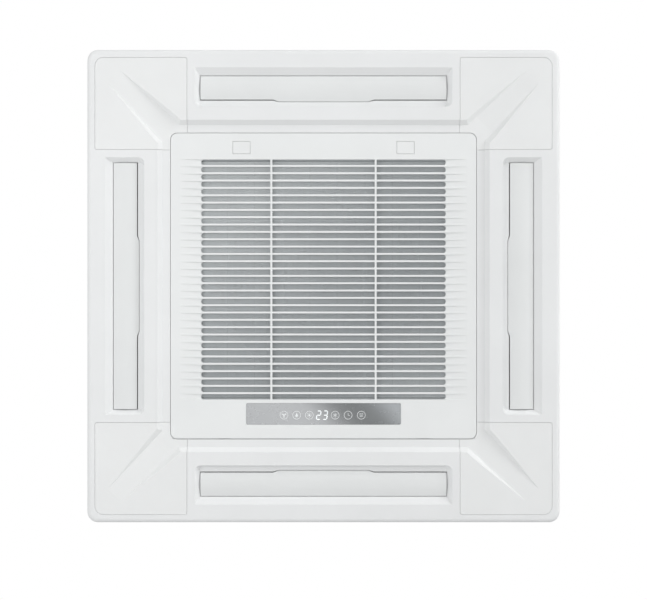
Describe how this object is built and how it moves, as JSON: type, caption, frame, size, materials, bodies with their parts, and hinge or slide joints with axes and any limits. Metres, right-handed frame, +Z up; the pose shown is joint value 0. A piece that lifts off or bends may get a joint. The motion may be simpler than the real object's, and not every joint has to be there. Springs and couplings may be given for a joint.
{
  "type": "ceiling cassette air conditioner",
  "caption": "Square ceiling cassette air conditioner with flaps on all four sides, a hinged intake grille, turbo fan, coil, drain pump and case.",
  "frame": {"origin": "centre of the four hanger slots, in the plane under the hanger lugs", "axes": "+Z up towards the ceiling slab, room side towards -Z; -Y is the latch side of the grille, +Y its display side; +X is the side of the refrigerant pipes"},
  "size_m": [0.95, 0.95, 0.31],
  "materials": {
    "panel_white": "satin",
    "grille_white": "satin",
    "louver_white": "satin",
    "smoked_window": "gloss",
    "circuit_board": "satin",
    "filter_plastic": "matte",
    "filter_net": "matte",
    "seal_foam": "matte",
    "rigid_foam": "matte",
    "galvanised_sheet": "satin",
    "steel": "satin",
    "fin_aluminium": "satin",
    "copper": "satin",
    "brass": "satin",
    "fan_plastic": "satin",
    "motor_steel": "satin",
    "black_rubber": "matte",
    "dark_plastic": "satin"
  },
  "bodies": {
    "unit": {"bell_mouth": "fan_plastic", "cable_grommet": "black_rubber", "case_insulation": "rigid_foam", "case_shell": "galvanised_sheet", "case_top": "galvanised_sheet", "ceiling_gasket": "seal_foam", "coil_bends": "copper", "coil_end_plates": "galvanised_sheet", "coil_fins": "fin_aluminium", "coil_header": "copper", "corner_cover_back_left": "panel_white", "corner_cover_back_right": "panel_white", "corner_cover_front_left": "panel_white", "corner_cover_front_right": "panel_white", "drain_hose": "black_rubber", "drain_pan": "rigid_foam", "drain_port": "dark_plastic", "electric_box": "galvanised_sheet", "electric_cover": "galvanised_sheet", "fan_motor": "motor_steel", "flare_nuts": "brass", "float_guide": "dark_plastic", "gas_pipe": "copper", "hanger_brackets": "galvanised_sheet", "hanger_screws": "steel", "hinge_pins": "steel", "insulation_top": "rigid_foam", "latch_clips": "steel", "liquid_pipe": "copper", "louver_motor_back": "motor_steel", "louver_motor_front": "motor_steel", "louver_motor_left": "motor_steel", "louver_motor_right": "motor_steel", "motor_bracket": "galvanised_sheet", "motor_feet": "black_rubber", "panel_frame": "panel_white", "panel_gasket": "seal_foam", "panel_screws": "steel", "pipe_plate": "galvanised_sheet", "pump_bracket": "galvanised_sheet", "pump_housing": "dark_plastic", "terminal_block": "dark_plastic"},
    "grille": {"intake_grille": "grille_white", "filter_frame": "filter_plastic", "filter_net": "filter_net", "display_window": "smoked_window", "display_board": "circuit_board", "latch_pins": "steel"},
    "latch_left": {"latch_left": "grille_white"},
    "latch_right": {"latch_right": "grille_white"},
    "flap_front": {"louver_front": "louver_white"},
    "flap_back": {"louver_back": "louver_white"},
    "flap_left": {"louver_left": "louver_white"},
    "flap_right": {"louver_right": "louver_white"},
    "fan": {"fan_impeller": "fan_plastic", "fan_shroud": "fan_plastic", "fan_shaft": "steel", "fan_nut": "steel"},
    "pump_wheel": {"pump_impeller": "fan_plastic"},
    "float": {"float_ring": "dark_plastic"}
  },
  "joints": [
    {"name": "fan_spin", "type": "hinge", "parent": "unit", "child": "fan", "pos_m": [0, 0, 0], "axis": [0, 0, 1], "continuous": true},
    {"name": "flap_front_swing", "type": "hinge", "parent": "unit", "child": "flap_front", "pos_m": [0, -0.385, -0.183], "axis": [1, 0, 0], "range_deg": [0, 50]},
    {"name": "flap_right_swing", "type": "hinge", "parent": "unit", "child": "flap_right", "pos_m": [0.385, 0, -0.183], "axis": [0, 1, 0], "range_deg": [0, 50]},
    {"name": "flap_back_swing", "type": "hinge", "parent": "unit", "child": "flap_back", "pos_m": [0, 0.385, -0.183], "axis": [-1, 0, 0], "range_deg": [0, 50]},
    {"name": "flap_left_swing", "type": "hinge", "parent": "unit", "child": "flap_left", "pos_m": [-0.385, 0, -0.183], "axis": [0, -1, 0], "range_deg": [0, 50]},
    {"name": "grille_swing", "type": "hinge", "parent": "unit", "child": "grille", "pos_m": [0, 0.305, -0.1895], "axis": [1, 0, 0], "range_deg": [0, 85], "deforming": ["latch_clips"]},
    {"name": "latch_left_press", "type": "hinge", "parent": "grille", "child": "latch_left", "pos_m": [-0.165, -0.2689, -0.189], "axis": [-1, 0, 0], "range_deg": [0, 7], "stiffness_Nm_per_rad": 0.2},
    {"name": "latch_right_press", "type": "hinge", "parent": "grille", "child": "latch_right", "pos_m": [0.165, -0.2689, -0.189], "axis": [-1, 0, 0], "range_deg": [0, 7], "stiffness_Nm_per_rad": 0.2},
    {"name": "pump_spin", "type": "hinge", "parent": "unit", "child": "pump_wheel", "pos_m": [0.285, 0.285, -0.06], "axis": [0, 0, 1], "continuous": true},
    {"name": "float_rise", "type": "slide", "parent": "unit", "child": "float", "axis": [0, 0, 1], "range_m": [0, 0.01]}
  ]
}
